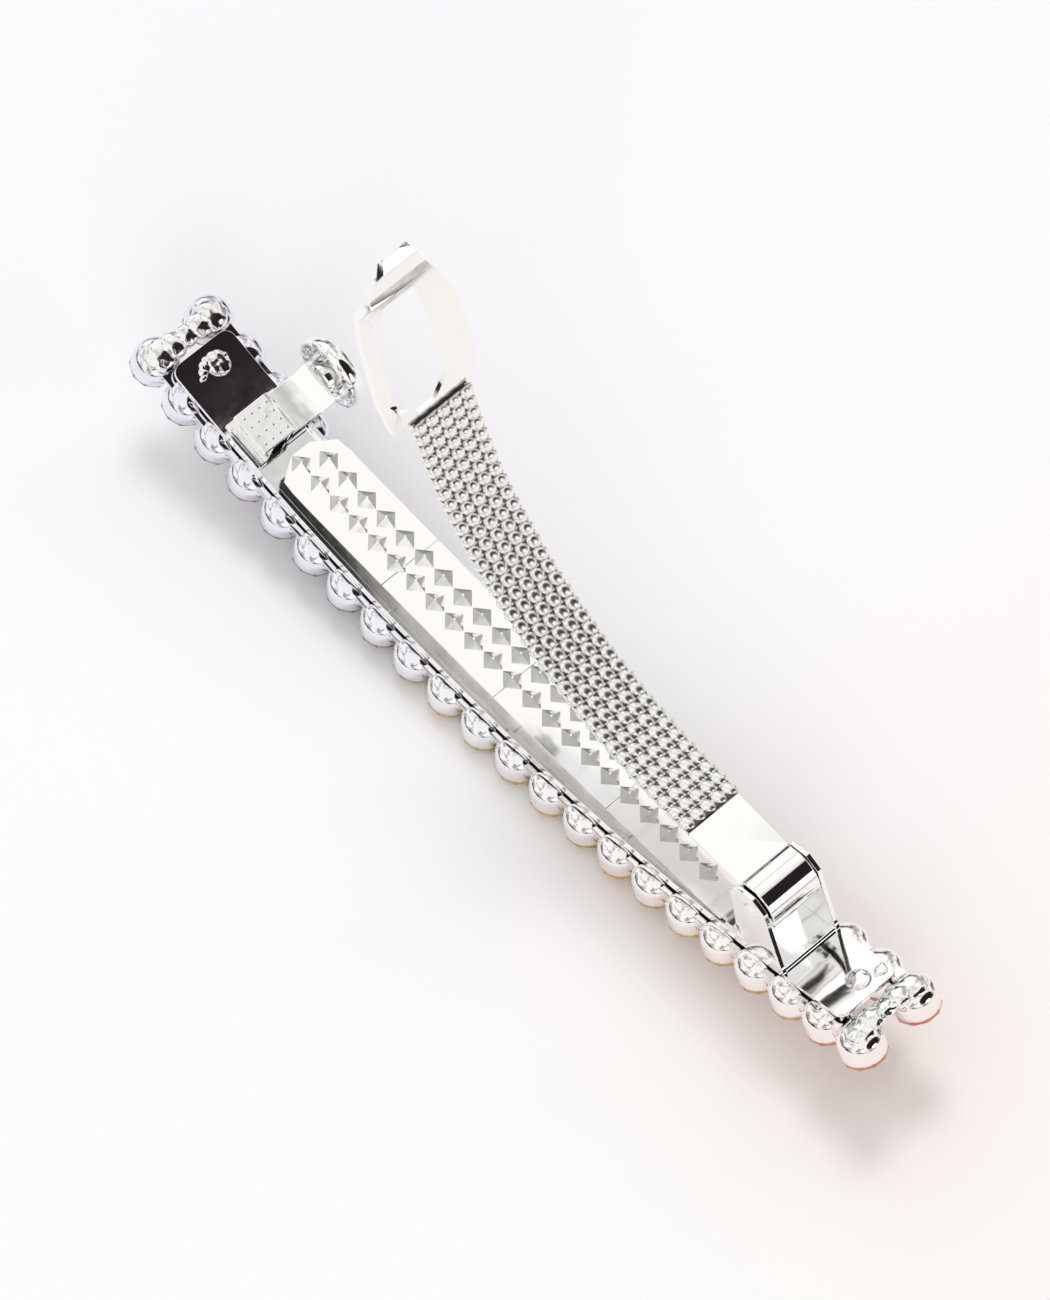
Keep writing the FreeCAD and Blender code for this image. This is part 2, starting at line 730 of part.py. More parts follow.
parts = build()
doc.recompute()
for item in doc.Objects:
    if "Invalid" in item.State or "Error" in item.State:
        raise RuntimeError("%s did not recompute: %s" % (item.Label, item.State))
os.makedirs("parts", exist_ok=True)
for item in parts:
    if item.Shape.isNull() or not item.Shape.isValid():
        raise RuntimeError("%s has no valid shape" % item.Label)
    item.Shape.exportStep("parts/%s.step" % item.Label)
    box = item.Shape.BoundBox
    print("%-20s %7.1f mm3  X %.1f..%.1f Y %.1f..%.1f Z %.1f..%.1f"
          % (item.Label, item.Shape.Volume, box.XMin, box.XMax, box.YMin, box.YMax, box.ZMin, box.ZMax))
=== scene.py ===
"""Hair barrette with two rows of set stones, lying open on its stones.

Lengths in the properties and in the code are millimetres unless a name says otherwise; TO_METRES
turns them into the frame's metres. A lean is an angle in degrees at the centre of the clip's arc,
measured from straight down towards the catch.
"""

import math

import bmesh
import bpy
from bpy.props import FloatProperty, FloatVectorProperty, IntProperty, PointerProperty
from mathutils import Matrix, Vector, noise


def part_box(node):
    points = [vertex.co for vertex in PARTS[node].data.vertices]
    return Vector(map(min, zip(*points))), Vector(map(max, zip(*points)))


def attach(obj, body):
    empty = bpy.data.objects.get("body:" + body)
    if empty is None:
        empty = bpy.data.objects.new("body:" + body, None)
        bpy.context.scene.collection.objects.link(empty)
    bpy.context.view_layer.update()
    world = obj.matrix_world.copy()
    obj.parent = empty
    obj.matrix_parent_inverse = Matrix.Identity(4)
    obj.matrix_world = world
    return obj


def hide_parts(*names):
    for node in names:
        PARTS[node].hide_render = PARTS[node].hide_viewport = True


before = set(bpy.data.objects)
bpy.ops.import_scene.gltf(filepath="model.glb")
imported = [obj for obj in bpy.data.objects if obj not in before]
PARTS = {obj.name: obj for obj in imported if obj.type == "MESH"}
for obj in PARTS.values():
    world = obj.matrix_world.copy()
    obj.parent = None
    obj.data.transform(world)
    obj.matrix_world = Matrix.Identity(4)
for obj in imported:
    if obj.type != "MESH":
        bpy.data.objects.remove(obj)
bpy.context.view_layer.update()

bl_info = {
    "name": "Stone-set barrette",
    "version": (1, 0, 0),
    "blender": (4, 5, 0),
    "location": "View3D > Sidebar > Barrette",
    "description": "Builds the visible pieces of a stone-set barrette around its packed frame",
    "category": "Object",
}

TO_METRES = 0.001


# ---------------------------------------------------------------- sizes and colours

class StoneRowSizes(bpy.types.PropertyGroup):
    """Sizes of the stones, of their cups and of the arc that they follow."""
    arc_radius: FloatProperty(name="Arc radius", description="Radius at the stones' tables",
                              default=124.8)
    row_offset: FloatProperty(name="Row offset", description="From the centre line to a row",
                              default=3.08)
    stone_count: IntProperty(name="Stones per row", description="Stones in each row", default=22)
    stone_step: FloatProperty(name="Stone step", description="Degrees from stone to stone",
                              default=2.013)
    stone_girdle: FloatProperty(name="Girdle radius", description="Stone's widest radius",
                                default=2.13)
    stone_table: FloatProperty(name="Table radius", description="Radius of the flat table",
                               default=1.2)
    facet_count: IntProperty(name="Facets round", description="Facets round a stone", default=10)


class ArmSizes(bpy.types.PropertyGroup):
    """Sizes of the arm, of its woven cover and of the plate at its root."""
    centre_x: FloatProperty(name="Arc centre X", description="Centre of the arm's arc",
                            default=22.1)
    centre_z: FloatProperty(name="Arc centre Z", description="Centre of the arm's arc",
                            default=51.03)
    radius: FloatProperty(name="Arm radius", description="Radius where cover meets strip",
                          default=34.0)
    start_lean: FloatProperty(name="Start", description="Lean at the arm's root", default=-1.2)
    link_lean: FloatProperty(name="Link", description="Degrees per link of the arm", default=15.34)
    link_count: IntProperty(name="Links", description="Links of the arm", default=5)
    weave_rows: IntProperty(name="Weave rows", description="Rows of weave in one link", default=7)
    weave_columns: IntProperty(name="Weave columns", description="Columns of weave", default=5)
    weave_width: FloatProperty(name="Weave width", description="Width of the cover at its root",
                               default=6.0)
    weave_growth: FloatProperty(name="Weave growth", description="Widening from link to link",
                                default=0.12)
    weave_height: FloatProperty(name="Weave height", description="Height of the weave",
                                default=0.5)


class BowSizes(bpy.types.PropertyGroup):
    """Sizes of the bow spring and of its embossed pattern."""
    centre_x: FloatProperty(name="Arc centre X", description="Centre of the bow's arc",
                            default=19.0)
    centre_z: FloatProperty(name="Arc centre Z", description="Centre of the bow's arc",
                            default=446.42)
    radius: FloatProperty(name="Bow radius", description="Radius of the bow's upper face",
                          default=438.0)
    start_lean: FloatProperty(name="Start", description="Lean at the fixed end", default=-1.1)
    link_lean: FloatProperty(name="Link", description="Degrees per link of the bow", default=1.85)
    link_count: IntProperty(name="Links", description="Links of the bow", default=4)
    width: FloatProperty(name="Bow width", description="Width of the spring", default=6.5)
    sheet: FloatProperty(name="Sheet", description="Thickness of the spring's sheet", default=0.14)
    stud_pitch: FloatProperty(name="Stud pitch", description="Distance between studs",
                              default=2.45)
    stud_height: FloatProperty(name="Stud height", description="Height of a stud", default=0.55)


class FinishColours(bpy.types.PropertyGroup):
    """Colours of the plated metal, the solder, the stones, and the weave bed's dark tone with its
    painted shade.
    """
    plate: FloatVectorProperty(name="Plating", description="Bright plating", subtype="COLOR",
                               default=(0.95, 0.95, 0.94))
    weave: FloatVectorProperty(name="Weave", description="Plated weave", subtype="COLOR",
                               default=(0.95, 0.94, 0.92))
    # Dark colour of the weave's bed: its own dark tone plus painted shade in the gaps between the
    # wires.
    weave_bed_tone_and_shade: FloatVectorProperty(name="Weave gaps", description="Between the wires", subtype="COLOR",
                                   default=(0.07, 0.06, 0.06))
    solder: FloatVectorProperty(name="Solder", description="Tin solder", subtype="COLOR",
                                default=(0.9, 0.89, 0.88))
    stone_cool: FloatVectorProperty(name="Stone, cool end", description="Coating at the catch end",
                                    subtype="COLOR", default=(0.12, 0.1, 0.13))
    stone_gold: FloatVectorProperty(name="Stone, gold", description="Coating near the middle",
                                    subtype="COLOR", default=(0.5, 0.36, 0.06))
    stone_warm: FloatVectorProperty(name="Stone, warm end", description="Coating at the hinge end",
                                    subtype="COLOR", default=(0.62, 0.2, 0.08))


# ---------------------------------------------------------------- placing and mesh helpers

def arc_matrix(sizes, lean, height, across):
    """Place of a thing that stands on the clip's arc, its Z towards the arc's centre."""
    angle = math.radians(lean)
    reach = sizes.arc_radius - height
    place = Vector((-reach * math.sin(angle), across, sizes.arc_radius - reach * math.cos(angle)))
    return Matrix.Translation(place) @ Matrix.Rotation(angle, 4, "Y")


def strip_matrix(sizes, lean, radius, across):
    """The same on a curved strip with its own arc centre; its X runs towards the hinge."""
    angle = math.radians(lean)
    place = Vector((sizes.centre_x - radius * math.sin(angle), across,
                    sizes.centre_z - radius * math.cos(angle)))
    return Matrix.Translation(place) @ Matrix.Rotation(angle, 4, "Y")


def stone_leans(sizes):
    half = (sizes.stone_count - 1) / 2
    return [(index - half) * sizes.stone_step for index in range(sizes.stone_count)]


def spin_profile(bm, profile, steps, matrix):
    """Turn a line of (radius, height) points about Z and put the shape in place."""
    verts = [bm.verts.new((radius, 0, height)) for radius, height in profile]
    edges = [bm.edges.new(pair) for pair in zip(verts, verts[1:])]
    bmesh.ops.spin(bm, geom=verts + edges, cent=(0, 0, 0), axis=(0, 0, 1),
                   angle=math.tau, steps=steps, use_merge=True)
    connected = {vert for vert in verts if vert.is_valid}
    pending = list(connected)
    while pending:
        vert = pending.pop()
        for edge in vert.link_edges:
            other = edge.other_vert(vert)
            if other not in connected:
                connected.add(other)
                pending.append(other)
    bmesh.ops.transform(bm, matrix=matrix, verts=list(connected))


def finish_piece(bm, name, body, material, smooth_angle=40.0, extra=()):
    """Make an object of a bmesh in millimetres and hand it to the frame."""
    bmesh.ops.remove_doubles(bm, verts=bm.verts, dist=0.0005)
    bmesh.ops.recalc_face_normals(bm, faces=bm.faces)
    bmesh.ops.scale(bm, vec=(TO_METRES,) * 3, verts=bm.verts)
    return object_from(bm, name, body, material, smooth_angle, extra)


def object_from(bm, name, body, material, smooth_angle=40.0, extra=()):
    limit = math.radians(smooth_angle)
    for face in bm.faces:
        face.smooth = True
    for edge in bm.edges:
        edge.smooth = len(edge.link_faces) == 2 and edge.calc_face_angle(0) < limit
    mesh = bpy.data.meshes.new(name)
    bm.to_mesh(mesh)
    bm.free()
    mesh.materials.append(material)
    for other in extra:
        mesh.materials.append(other)
    piece = bpy.data.objects.new(name, mesh)
    bpy.context.scene.collection.objects.link(piece)
    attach(piece, body)
    return piece


def soften_node(node, name, body, material, edge_width=0.08, smooth_angle=16.0):
    """A copy of a CAD node with its sharp edges broken, which stands for it."""
    bm = bmesh.new()
    bm.from_mesh(PARTS[node].data)
    bmesh.ops.remove_doubles(bm, verts=bm.verts, dist=2e-6)
    bmesh.ops.dissolve_limit(bm, angle_limit=math.radians(0.4), verts=bm.verts, edges=bm.edges)
    sharp = [edge for edge in bm.edges
             if len(edge.link_faces) == 2 and edge.calc_face_angle(0) > math.radians(30)]
    if edge_width:
        bmesh.ops.bevel(bm, geom=sharp, offset=edge_width * TO_METRES, segments=2, profile=0.5,
                        affect="EDGES", clamp_overlap=True, material=-1)
    piece = object_from(bm, name, body, material, smooth_angle)
    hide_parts(node)
    return piece


# ---------------------------------------------------------------- materials

def new_group(name, inputs, outputs):
    group = bpy.data.node_groups.new(name, "ShaderNodeTree")
    for label, default in inputs:
        socket = group.interface.new_socket(label, in_out="INPUT", socket_type="NodeSocketFloat")
        socket.default_value = default
    for label, kind in outputs:
        group.interface.new_socket(label, in_out="OUTPUT", socket_type=kind)
    return group


def plating_group():
    """Slight waves and fine scuffs of plated sheet, as one height and one roughness."""
    if "plating_waves" in bpy.data.node_groups:
        return bpy.data.node_groups["plating_waves"]
    group = new_group("plating_waves",
                      [("Wave Size", 300.0), ("Wave Depth", 1.0), ("Scuff Size", 2500.0),
                       ("Roughness", 0.08), ("Roughness Spread", 0.06)],
                      [("Height", "NodeSocketFloat"), ("Roughness", "NodeSocketFloat")])
    nodes, links = group.nodes, group.links
    inside = nodes.new("NodeGroupInput")
    outside = nodes.new("NodeGroupOutput")
    place = nodes.new("ShaderNodeTexCoord")
    waves = nodes.new("ShaderNodeTexNoise")
    waves.inputs["Detail"].default_value = 1.5
    scuffs = nodes.new("ShaderNodeTexNoise")
    scuffs.inputs["Detail"].default_value = 4.0
    links.new(place.outputs["Object"], waves.inputs["Vector"])
    links.new(place.outputs["Object"], scuffs.inputs["Vector"])
    links.new(inside.outputs["Wave Size"], waves.inputs["Scale"])
    links.new(inside.outputs["Scuff Size"], scuffs.inputs["Scale"])
    height = nodes.new("ShaderNodeMath")
    height.operation = "MULTIPLY"
    links.new(waves.outputs["Fac"], height.inputs[0])
    links.new(inside.outputs["Wave Depth"], height.inputs[1])
    spread = nodes.new("ShaderNodeMath")
    spread.operation = "MULTIPLY_ADD"
    links.new(scuffs.outputs["Fac"], spread.inputs[0])
    links.new(inside.outputs["Roughness Spread"], spread.inputs[1])
    links.new(inside.outputs["Roughness"], spread.inputs[2])
    links.new(height.outputs[0], outside.inputs["Height"])
    links.new(spread.outputs[0], outside.inputs["Roughness"])
    return group


def new_material(name):
    material = bpy.data.materials.new(name)
    material.use_nodes = True
    nodes = material.node_tree.nodes
    return material, nodes, material.node_tree.links, nodes["Principled BSDF"]


def plated_material(name, colour, wave_size=260.0, wave_depth=1.0, bump=0.12, roughness=0.05,
                    spread=0.05, stone_light_stops=None):
    """Bright plating; an optional list of (X in metres, colour) paints the stones' coloured light into
    its colour along the clip, a painted reflection.
    """
    material, nodes, links, shader = new_material(name)
    shader.inputs["Base Color"].default_value = (*colour, 1)
    shader.inputs["Metallic"].default_value = 1.0
    group = nodes.new("ShaderNodeGroup")
    group.node_tree = plating_group()
    group.inputs["Wave Size"].default_value = wave_size
    group.inputs["Wave Depth"].default_value = wave_depth
    group.inputs["Roughness"].default_value = roughness
    group.inputs["Roughness Spread"].default_value = spread
    links.new(group.outputs["Roughness"], shader.inputs["Roughness"])
    dent = nodes.new("ShaderNodeBump")
    dent.inputs["Strength"].default_value = bump
    dent.inputs["Distance"].default_value = 0.00012
    links.new(group.outputs["Height"], dent.inputs["Height"])
    links.new(dent.outputs["Normal"], shader.inputs["Normal"])
    # Painted reflection: the stones' lavender-to-pink light laid into the plating's colour along X.
    if stone_light_stops:
        ramp = ramp_along_clip(nodes, links, stone_light_stops)
        links.new(ramp.outputs["Color"], shader.inputs["Base Color"])
    return material


def ramp_along_clip(nodes, links, stops):
    """A colour that changes along X; each stop is (X in metres, colour)."""
    place = nodes.new("ShaderNodeTexCoord")
    split = nodes.new("ShaderNodeSeparateXYZ")
    links.new(place.outputs["Object"], split.inputs[0])
    along = nodes.new("ShaderNodeMapRange")
    along.inputs["From Min"].default_value = stops[0][0]
    along.inputs["From Max"].default_value = stops[-1][0]
    links.new(split.outputs["X"], along.inputs["Value"])
    ramp = nodes.new("ShaderNodeValToRGB")
    span = stops[-1][0] - stops[0][0]
    elements = ramp.color_ramp.elements
    while len(elements) < len(stops):
        elements.new(0.5)
    for element, (where, colour) in zip(elements, stops):
        element.position = (where - stops[0][0]) / span
        element.color = (*colour, 1)
    links.new(along.outputs["Result"], ramp.inputs["Fac"])
    return ramp


def stone_material(colours):
    """Coated stone: a mirror-like coloured skin over clear glass."""
    material, nodes, links, shader = new_material("coated_stone")
    shader.inputs["Metallic"].default_value = 0.45
    shader.inputs["Roughness"].default_value = 0.05
    shader.inputs["IOR"].default_value = 1.6
    shader.inputs["Coat Weight"].default_value = 1.0
    cool, gold, warm = colours.stone_cool, colours.stone_gold, colours.stone_warm
    ramp = ramp_along_clip(nodes, links, [(-0.045, cool), (-0.016, (0.2, 0.17, 0.16)),
                                          (-0.006, gold), (0.02, (0.55, 0.33, 0.08)),
                                          (0.045, warm)])
    place = nodes.new("ShaderNodeTexCoord")
    flecks = nodes.new("ShaderNodeTexVoronoi")
    flecks.inputs["Scale"].default_value = 700.0
    links.new(place.outputs["Object"], flecks.inputs["Vector"])
    mix = nodes.new("ShaderNodeMix")
    mix.data_type = "RGBA"
    mix.blend_type = "SOFT_LIGHT"
    mix.inputs["Factor"].default_value = 0.45
    links.new(ramp.outputs["Color"], mix.inputs["A"])
    links.new(flecks.outputs["Color"], mix.inputs["B"])
    links.new(mix.outputs["Result"], shader.inputs["Base Color"])
    return material


def bed_tone_and_shade_material(colour):
    """The weave's dark bed: its own dark tone plus painted shade of the recesses between the wires."""
    material, nodes, links, shader = new_material("weave_bed_tone_and_shade")
    shader.inputs["Metallic"].default_value = 0.6
    place = nodes.new("ShaderNodeTexCoord")
    # Noise makes the bed's painted shade patchy, up to 2.2 times lighter in places.
    patchy_bed_shade = nodes.new("ShaderNodeTexNoise")
    patchy_bed_shade.inputs["Scale"].default_value = 1500.0
    links.new(place.outputs["Object"], patchy_bed_shade.inputs["Vector"])
    shade = nodes.new("ShaderNodeMix")
    shade.data_type = "RGBA"
    shade.inputs["A"].default_value = (*colour, 1)
    shade.inputs["B"].default_value = (*[part * 2.2 for part in colour], 1)
    links.new(patchy_bed_shade.outputs["Fac"], shade.inputs["Factor"])
    links.new(shade.outputs["Result"], shader.inputs["Base Color"])
    shader.inputs["Roughness"].default_value = 0.45
    return material


MATERIALS = {}


def finishes():
    """The object's materials, made once."""
    if MATERIALS:
        return MATERIALS
    colours = bpy.context.scene.barrette_colours
    MATERIALS["plate"] = plated_material("bright_plating", colours.plate)
    MATERIALS["ring"] = plated_material("ring_plating", colours.plate, wave_size=420.0, bump=0.25)
    MATERIALS["base"] = plated_material("strip_plating", colours.plate, wave_size=330.0, bump=0.22)
    MATERIALS["bow"] = plated_material("bow_plating", colours.weave, wave_size=500.0, bump=0.25,
                                       roughness=0.1)
    MATERIALS["weave"] = plated_material("weave_plating", colours.weave, wave_size=900.0,
                                         bump=0.1, roughness=0.24)
    # The weave's bed carries painted shade between the wires, over its own dark tone.
    MATERIALS["gap"] = bed_tone_and_shade_material(colours.weave_bed_tone_and_shade)
    MATERIALS["solder"] = plated_material("tin_solder", colours.solder, wave_size=900.0,
                                          wave_depth=1.6, bump=0.5, roughness=0.1)
    # Painted reflection of the stones' coloured light on the cups: lavender at the catch end, pink at
    # the hinge end.
    cup_reflected_stone_light = [(-0.047, (0.84, 0.83, 0.92)), (-0.01, (0.88, 0.87, 0.92)),
                (0.02, (0.93, 0.9, 0.88)), (0.047, (0.93, 0.88, 0.86))]
    MATERIALS["setting"] = plated_material("cup_plating", colours.plate, wave_size=600.0,
                                           bump=0.3, stone_light_stops=cup_reflected_stone_light)
    MATERIALS["stone"] = stone_material(colours)
    return MATERIALS


# ---------------------------------------------------------------- stones and cups

def build_cups(sizes, side, name, node):
    """A row of round cups with domed backs and the web between them."""
    profile = [(1.72, 1.2), (1.76, 0.96), (1.86, 0.9), (2.03, 0.9), (2.1, 0.98), (2.1, 1.2),
               (2.1, 2.3), (2.06, 2.6), (1.96, 2.86), (1.78, 3.1), (1.5, 3.3), (1.1, 3.47),
               (0.6, 3.56), (0.0, 3.58)]
    bm = bmesh.new()
    across = side * sizes.row_offset
    for lean in stone_leans(sizes):
        spin_profile(bm, profile, 28, arc_matrix(sizes, lean, 0, across))
    leans = stone_leans(sizes)
    for start, stop in zip(leans, leans[1:]):
        made = bmesh.ops.create_cube(bm, size=1)
        bmesh.ops.scale(bm, vec=(1.5, 1.7, 0.55), verts=made["verts"])
        bmesh.ops.transform(bm, matrix=arc_matrix(sizes, (start + stop) / 2, 2.9, across),
                            verts=made["verts"])
    piece = finish_piece(bm, name, "base", finishes()["setting"], 50.0)
    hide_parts(node)


def build_stones(sizes, side, name, node):
    """A row of faceted stones, tables down, with their girdles just proud of the cups."""
    bm = bmesh.new()
    count = sizes.facet_count
    for index, lean in enumerate(stone_leans(sizes)):
        place = arc_matrix(sizes, lean, 0, side * sizes.row_offset)
        place = place @ Matrix.Rotation(index * 1.7, 4, "Z")
        for low, high, bottom, top in ((sizes.stone_table, sizes.stone_girdle, 0.02, 0.6),
                                       (sizes.stone_girdle, sizes.stone_girdle - 0.03, 0.6, 0.9)):
            made = bmesh.ops.create_cone(bm, cap_ends=True, segments=count, radius1=low,
                                         radius2=high, depth=top - bottom)
            bmesh.ops.translate(bm, vec=(0, 0, (top + bottom) / 2), verts=made["verts"])
            bmesh.ops.transform(bm, matrix=place, verts=made["verts"])
    piece = finish_piece(bm, name, "base", finishes()["stone"], 5.0)
    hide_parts(node)


class BARRETTE_OT_stones(bpy.types.Operator):
    """Set both rows of stones in their cups"""
    bl_idname = "barrette.stones"
    bl_label = "Set the stones"

    def execute(self, context):
        sizes = context.scene.barrette_stones
        for side, word in ((-1, "near"), (1, "far")):
            build_cups(sizes, side, "cups_%s" % word, "stone_setting_%s" % word)
            build_stones(sizes, side, "cut_stones_%s" % word, "stones_%s" % word)
        return {"FINISHED"}


# ---------------------------------------------------------------- solder

def add_lump(bm, centre, radii, seed, roughness=0.05):
    """A lump of solder: a rounded blob with an uneven skin."""
    made = bmesh.ops.create_icosphere(bm, subdivisions=4, radius=1)
    for vert in made["verts"]:
        wave = noise.noise(vert.co * 2.1 + Vector((seed, seed * 0.7, 0)))
        vert.co *= 1 + roughness * 2 * wave
    bmesh.ops.scale(bm, vec=radii, verts=made["verts"])
    bmesh.ops.transform(bm, matrix=centre, verts=made["verts"])


def build_bridge(sizes, side, name, node):
    """Solder that joins the last two cups across the clip."""
    lean = -side * (sizes.stone_count - 1) * sizes.stone_step / 2
    bm = bmesh.new()
    run = ((-2.9, 3.25, (1.5, 1.6, 0.62)), (-1.5, 3.4, (1.25, 1.3, 0.7)),
           (0.0, 3.35, (1.05, 1.3, 0.66)), (1.5, 3.4, (1.25, 1.3, 0.7)),
           (2.9, 3.25, (1.5, 1.6, 0.62)))
    for index, (across, height, radii) in enumerate(run):
        add_lump(bm, arc_matrix(sizes, lean, height, across), radii, index * 3.1 + side)
    piece = finish_piece(bm, name, "base", finishes()["solder"], 60.0)
    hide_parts(node)


def build_rivet(sizes, side, name, node):
    """Solder that fills a tab's hole and stands a little proud of it."""
    low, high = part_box(node)
    centre = (low + high) / 2 / TO_METRES
    lean = math.degrees(math.asin(-centre.x / 120.8))
    bm = bmesh.new()
    place = arc_matrix(sizes, lean, 4.0, centre.y)
    add_lump(bm, place, (1.08, 1.08, 0.2), side * 5.3, 0.12)
    ring = bmesh.ops.create_cone(bm, cap_ends=False, segments=32, radius1=1.1, radius2=1.1,
                                 depth=0.1)
    bmesh.ops.transform(bm, matrix=place, verts=ring["verts"])
    piece = finish_piece(bm, name, "base", finishes()["solder"], 60.0)
    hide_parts(node)


def build_smear(sizes, name, lean, across, turn, reach):
    """A crescent of solder that ran on a tab."""
    bm = bmesh.new()
    place = arc_matrix(sizes, lean, 4.02, across) @ Matrix.Rotation(math.radians(turn), 4, "Z")
    steps = 7
    for index in range(steps):
        angle = math.radians(-50 + 100 * index / (steps - 1))
        width = 0.18 + 0.42 * math.cos(angle * 1.6)
        spot = Matrix.Translation((reach * math.cos(angle), reach * math.sin(angle), 0))
        add_lump(bm, place @ spot, (width, 0.45, 0.12), index, 0.05)
    finish_piece(bm, name, "base", finishes()["solder"], 60.0)


class BARRETTE_OT_solder(bpy.types.Operator):
    """Run the solder at both ends of the clip"""
    bl_idname = "barrette.solder"
    bl_label = "Run the solder"

    def execute(self, context):
        sizes = context.scene.barrette_stones
        build_bridge(sizes, -1, "solder_bridge_latch", "end_bridge_latch")
        build_bridge(sizes, 1, "solder_bridge_hinge", "end_bridge_hinge")
        build_rivet(sizes, -1, "solder_rivet_latch", "tab_rivet_latch")
        build_rivet(sizes, 1, "solder_rivet_hinge", "tab_rivet_hinge")
        build_smear(sizes, "solder_smear_latch", 18.9, 0.1, 190, 1.75)
        build_smear(sizes, "solder_smear_hinge", -19.6, 2.2, 20, 0.5)
        return {"FINISHED"}


# ---------------------------------------------------------------- base and hinge

class BARRETTE_OT_base(bpy.types.Operator):
    """Soften the base strip with its ears and plate the hinge pin, bow anchor and catch foot"""
    bl_idname = "barrette.base"
    bl_label = "Fold the base strip"

    def execute(self, context):
        coats = finishes()
        soften_node("base_strip", "channel_strip", "base", coats["base"], 0.09)
        for node in ("hinge_pin", "bow_anchor", "catch_foot"):
            PARTS[node].data.materials.clear()
            PARTS[node].data.materials.append(coats["plate"])
        return {"FINISHED"}


# ---------------------------------------------------------------- arm

def build_weave(sizes, link):
    """One link's stretch of woven cover: cells in columns, cross wires between the rows."""
    bm = bmesh.new()
    width = sizes.weave_width + link * sizes.weave_growth
    column = width / sizes.weave_columns
    row = sizes.link_lean / sizes.weave_rows
    depth = math.radians(row) * sizes.radius
    first = sizes.start_lean + link * sizes.link_lean
    bed = sizes.radius - sizes.weave_height
    for step in range(sizes.weave_rows):
        lean = first + (step + 0.5) * row
        for place in range(sizes.weave_columns):
            across = (place - (sizes.weave_columns - 1) / 2) * column
            add_cell(bm, strip_matrix(sizes, lean, bed + 0.2, across), column, depth)
        for side in (-1, 1):
            add_edge_bead(bm, strip_matrix(sizes, lean, bed + 0.3, side * (width / 2 - 0.05)), depth)
    cells = len(bm.faces)
    add_bed(bm, sizes, first, width)
    for index, face in enumerate(bm.faces):
        face.material_index = 1 if index >= cells else 0
    piece = finish_piece(bm, "woven_cover_%d" % (link + 1), "arm_link_%d" % (link + 1),
                         finishes()["weave"], 60.0, (finishes()["gap"],))
    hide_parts("arm_cover_%d" % (link + 1))


def add_cell(bm, place, column, depth):
    """One cell: a rounded pad of wire with a second wire across its end."""
    pad = bmesh.ops.create_uvsphere(bm, u_segments=10, v_segments=6, radius=0.5)
    bmesh.ops.scale(bm, vec=(depth * 1.1, column * 1.1, 0.62), verts=pad["verts"])
    shear = Matrix.Identity(4)
    shear[1][0] = 0.14
    bmesh.ops.transform(bm, matrix=place @ shear, verts=pad["verts"])
    wire = bmesh.ops.create_cone(bm, cap_ends=True, segments=8, radius1=0.11, radius2=0.11,
                                 depth=column * 0.92)
    lay = Matrix.Translation((-depth * 0.5, 0, 0.02))
    lay = lay @ Matrix.Rotation(math.radians(90), 4, "X") @ Matrix.Rotation(0.1, 4, "Y")
    bmesh.ops.transform(bm, matrix=place @ lay, verts=wire["verts"])


def add_edge_bead(bm, place, depth):
    """The wire's turn at the edge of the weave."""
    bead = bmesh.ops.create_icosphere(bm, subdivisions=2, radius=1)
    bmesh.ops.scale(bm, vec=(depth * 0.3, 0.2, 0.17), verts=bead["verts"])
    bmesh.ops.transform(bm, matrix=place, verts=bead["verts"])


def add_bed(bm, sizes, first, width):
    """The dark bed that the weave lies on, level with the strip's face; its dark colour is its own
    tone plus painted shade between the wires.
    """
    steps = 8
    rows = []
    for step in range(steps + 1):
        lean = first + 0.05 + (sizes.link_lean - 0.1) * step / steps
        ring = []
        for lift, across in ((0.34, -1), (0.34, 1), (0.02, 1), (0.02, -1)):
            place = strip_matrix(sizes, lean, sizes.radius - lift, across * (width / 2 - 0.18))
            ring.append(bm.verts.new(place.translation))
        rows.append(ring)
    for low, high in zip(rows, rows[1:]):
        for index in range(4):
            after = (index + 1) % 4
            bm.faces.new((low[index], low[after], high[after], high[index]))
    bm.faces.new(rows[0])
    bm.faces.new(reversed(rows[-1]))


def build_root():
    """Smooth plate at the arm's root, folded down over the pin into a rounded lip."""
    soften_node("arm_root", "root_plate", "arm_root", finishes()["plate"], 0.1)


class BARRETTE_OT_arm(bpy.types.Operator):
    """Build the arm: root plate, strips, woven cover and ring"""
    bl_idname = "barrette.arm"
    bl_label = "Build the arm"

    def execute(self, context):
        sizes = context.scene.barrette_arm
        build_root()
        for link in range(sizes.link_count):
            node = PARTS["arm_strip_%d" % (link + 1)]
            node.data.materials.clear()
            node.data.materials.append(finishes()["plate"])
            build_weave(sizes, link)
        soften_node("arm_ring", "ring_loop", "arm_link_5", finishes()["ring"],
                    0.12)
        return {"FINISHED"}


# ---------------------------------------------------------------- bow spring

